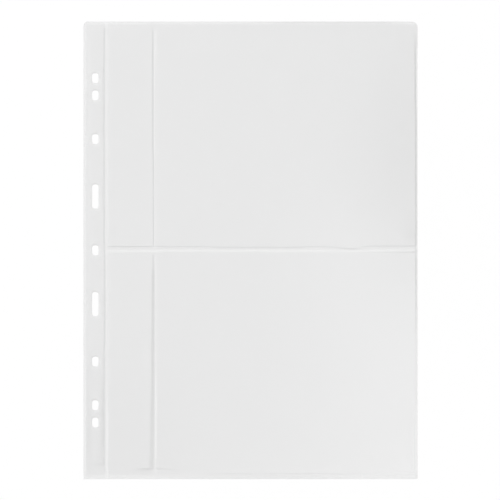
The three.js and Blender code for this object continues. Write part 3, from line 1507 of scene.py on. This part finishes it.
@dataclass
class Studio:
    """A pale floor, soft light and a camera straight above the page.

    Attributes:
        shown_width: Width of the picture at the page, in mm.
        centre: Where the camera looks, in mm.
        distance: Height of the camera, in mm.
        sensor: Width of the camera's sensor, in mm.
        clip: How far the camera sees, in metres.
        floor_size: Side of the floor, in mm.
        floor_depth: Depth of the floor below the page, in mm. The page turns down past its
            strip, so there is room for its whole width.
        paper: Colour of the floor in the light that it throws back on the page.
        shade: Colour that the shadows fall on where the floor is seen.
        glow: Light that the seen floor gives by itself, so that it comes out white.
        zenith: Light from straight above.
        bright: Extra light from the upper left, close to straight above.
        dark: Light taken away at the lower right.
        ring: Extra light of two soft rings nearer the horizon, which show the creases from
            the sides too.
        dim_ring: Light taken away between the two rings.
        film_layers: How many faces of clear film a ray may pass, as at a slanting view.
    """

    shown_width: float = 348.55
    centre: Point = (-0.38, 0.24)
    distance: float = 6000.0
    sensor: float = 36.0
    clip: float = 200.0
    floor_size: float = 60000.0
    floor_depth: float = 240.0
    paper: str = "E7E7E7"
    shade: str = "505050"
    glow: float = 0.939
    zenith: float = 0.78
    bright: float = 0.8
    dark: float = 0.48
    ring: float = 0.5
    dim_ring: float = 0.3
    film_layers: int = 32

    def camera(self) -> None:
        """Places the camera."""
        data = bpy.data.cameras.new("camera")
        data.sensor_width = self.sensor
        data.lens = self.sensor * self.distance / self.shown_width
        data.clip_end = self.clip
        camera = add_object("camera", data)
        camera.location = (self.centre[0] * MM, self.centre[1] * MM, self.distance * MM)
        bpy.context.scene.camera = camera

    def floor_material(self) -> bpy.types.Material:
        """Makes the floor's paper: seen as white with the page's faint shadow.

        Returns:
            The new material.
        """
        material = bpy.data.materials.new("white_paper_floor")
        tree = empty_tree(material)
        path = add_node(tree, "ShaderNodeLightPath")
        seen: Source = path.outputs["Is Camera Ray"]
        for ray in ("Is Glossy Ray", "Is Transmission Ray"):
            links = {0: seen, 1: path.outputs[ray]}
            seen = add_node(tree, "ShaderNodeMath", {"operation": "MAXIMUM"}, links=links)
        paper = add_node(tree, "ShaderNodeBsdfDiffuse", values={"Color": srgb(self.paper)})
        shade = add_node(tree, "ShaderNodeBsdfDiffuse", values={"Color": srgb(self.shade)})
        white = add_node(tree, "ShaderNodeEmission", values={"Strength": self.glow})
        lit = add_node(tree, "ShaderNodeAddShader", links={0: shade, 1: white})
        surface = add_node(tree, "ShaderNodeMixShader", links={0: seen, 1: paper, 2: lit})
        add_node(tree, "ShaderNodeOutputMaterial", links={"Surface": surface})
        return material

    def floor(self) -> None:
        """Lays the floor."""
        half, drop = self.floor_size / 2 * MM, -self.floor_depth * MM
        corners = [(x, y, drop) for x, y in rectangle(-half, half, -half, half)]
        mesh = bpy.data.meshes.new("floor")
        mesh.from_pydata(corners, [], [(0, 1, 2, 3)])
        mesh.materials.append(self.floor_material())
        floor = add_object("floor", mesh)

    def light(self, tree: bpy.types.NodeTree) -> Source:
        """Works out the light from each direction.

        Args:
            tree: The world's node tree.

        Returns:
            The node that holds its strength.
        """
        way = add_node(tree, "ShaderNodeTexCoord").outputs["Generated"]
        upper_left, upwards = (-math.sqrt(0.5), math.sqrt(0.5), 0.0), (0.0, 0.0, 1.0)
        lean, rise = (
            add_node(
                tree,
                "ShaderNodeVectorMath",
                {"operation": "DOT_PRODUCT"},
                values={1: axis},
                links={0: way},
            ).outputs["Value"]
            for axis in (upper_left, upwards)
        )
        # Each step has what it goes by, where it starts and ends, and the light before and after
        steps = (
            (lean, -0.16, -0.045, -self.dark, 0.0),
            (lean, 0.05, 0.18, self.zenith, self.zenith + self.bright),
            (lean, 0.25, 0.4, 0.0, -self.bright),
            (rise, 0.22, 0.32, 0.0, self.ring),
            (rise, 0.4, 0.5, self.dim_ring, -self.ring),
            (rise, 0.58, 0.68, -self.dim_ring, self.ring),
            (rise, 0.76, 0.86, 0.0, -self.ring),
        )
        parts = [
            add_node(
                tree,
                "ShaderNodeMapRange",
                {"interpolation_type": "SMOOTHSTEP"},
                values={"From Min": start, "From Max": end, "To Min": before, "To Max": after},
                links={"Value": where},
            )
            for where, start, end, before, after in steps
        ]
        total, *others = parts
        for part in others:
            links = {0: total, 1: part}
            total = add_node(tree, "ShaderNodeMath", {"operation": "ADD"}, links=links)
        return total

    def world(self) -> None:
        """Lights the scene: brighter from the upper left, darker at the lower right.

        The camera sees the world as white, also through the film. The film's gloss sees the
        uneven light itself, which draws the creases of a clear film along with their painted
        shade.
        """
        world = bpy.data.worlds.new("studio")
        bpy.context.scene.world = world
        tree = empty_tree(world)
        path = add_node(tree, "ShaderNodeLightPath")
        shown = add_node(
            tree,
            "ShaderNodeMath",
            {"operation": "MAXIMUM"},
            links={0: path.outputs["Is Camera Ray"], 1: path.outputs["Is Transmission Ray"]},
        )
        colour = {"Color": srgb(WHITE)}
        links = {"Strength": self.light(tree)}
        soft = add_node(tree, "ShaderNodeBackground", values=colour, links=links)
        white = add_node(tree, "ShaderNodeBackground", values={**colour, "Strength": 1.0})
        surface = add_node(tree, "ShaderNodeMixShader", links={0: shown, 1: soft, 2: white})
        add_node(tree, "ShaderNodeOutputWorld", links={"Surface": surface})

    def build(self) -> None:
        """Sets up the whole studio."""
        self.camera()
        self.floor()
        self.world()
        bpy.context.scene.view_settings.view_transform = "Standard"
        bpy.context.scene.cycles.transparent_max_bounces = self.film_layers


def main() -> None:
    """Builds the page and its studio."""
    logging.basicConfig(level=logging.INFO, format="%(name)s: %(message)s")
    shop = Workshop(page_relief())
    BindingStrip(shop).build()
    HingeSeam(shop).build()
    PagePanel(shop).build()
    for pocket in Pocket:
        for side in SlitSide:
            Opening(shop, pocket, side).build()
    Studio().build()


if __name__ == "__main__":
    main()
